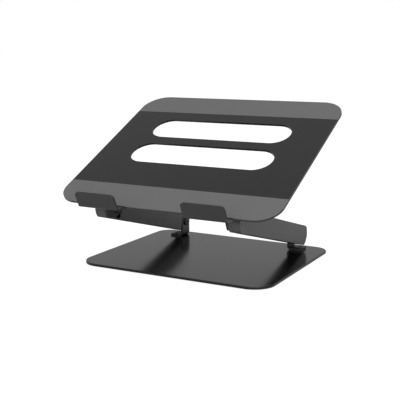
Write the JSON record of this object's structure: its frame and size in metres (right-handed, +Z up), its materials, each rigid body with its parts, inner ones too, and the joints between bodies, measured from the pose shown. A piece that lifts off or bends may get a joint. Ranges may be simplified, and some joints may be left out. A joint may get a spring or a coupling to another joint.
{
  "type": "laptop stand",
  "caption": "Folding desk stand that lifts and tilts a laptop: flat base, two hinged side arms and a slotted tray with silicone grips and front hooks.",
  "frame": {"origin": "on the desk, under the middle of the stand's outline box as it stands open", "axes": "+X across the stand to the user's right, +Y from the user to the back, +Z up"},
  "size_m": [0.26, 0.231, 0.1763],
  "materials": {
    "black_sheet_paint": "fine-texture black powder coat, satin",
    "arm_paint": "smooth black powder coat, satin",
    "black_steel": "black electrophoretic coat on bent steel",
    "grey_silicone": "matt grey silicone",
    "liner_silicone": "matt dark grey silicone",
    "foot_rubber": "matt black rubber",
    "friction_polymer": "matt friction washer",
    "spring_steel": "plain spring steel",
    "black_fastener": "black oxide steel, slightly oily"
  },
  "bodies": {
    "base": {"base_plate": "black_sheet_paint", "front_left_foot": "foot_rubber", "front_right_foot": "foot_rubber", "rear_left_foot": "foot_rubber", "rear_right_foot": "foot_rubber", "left_foot_bracket": "black_steel", "right_foot_bracket": "black_steel", "foot_bracket_screws": "black_fastener", "left_rear_pivot_bolt": "black_fastener", "right_rear_pivot_bolt": "black_fastener", "rear_friction_washers": "friction_polymer", "rear_disc_springs": "spring_steel", "rear_lock_nuts": "black_fastener"},
    "arms": {"left_arm_shell": "arm_paint", "right_arm_shell": "arm_paint", "left_arm_cover": "arm_paint", "right_arm_cover": "arm_paint", "left_arm_link": "black_steel", "right_arm_link": "black_steel", "link_screws": "black_fastener"},
    "tray": {"tray_plate": "black_sheet_paint", "front_grip_pad": "grey_silicone", "rear_grip_pad": "grey_silicone", "left_hook_liner": "liner_silicone", "right_hook_liner": "liner_silicone", "left_tray_bracket": "black_steel", "right_tray_bracket": "black_steel", "tray_bracket_screws": "black_fastener", "left_front_pivot_bolt": "black_fastener", "right_front_pivot_bolt": "black_fastener", "front_friction_washers": "friction_polymer", "front_disc_springs": "spring_steel", "front_lock_nuts": "black_fastener"}
  },
  "joints": [
    {"name": "arm_fold", "type": "hinge", "parent": "base", "child": "arms", "pos_m": [0, 0.09467, 0.0213], "axis": [-1, 0, 0], "range_deg": [-15.7, 64.3]},
    {"name": "tray_tilt", "type": "hinge", "parent": "arms", "child": "tray", "pos_m": [0, -0.05937, 0.0646], "axis": [1, 0, 0], "range_deg": [-41.4, 46.6]}
  ]
}
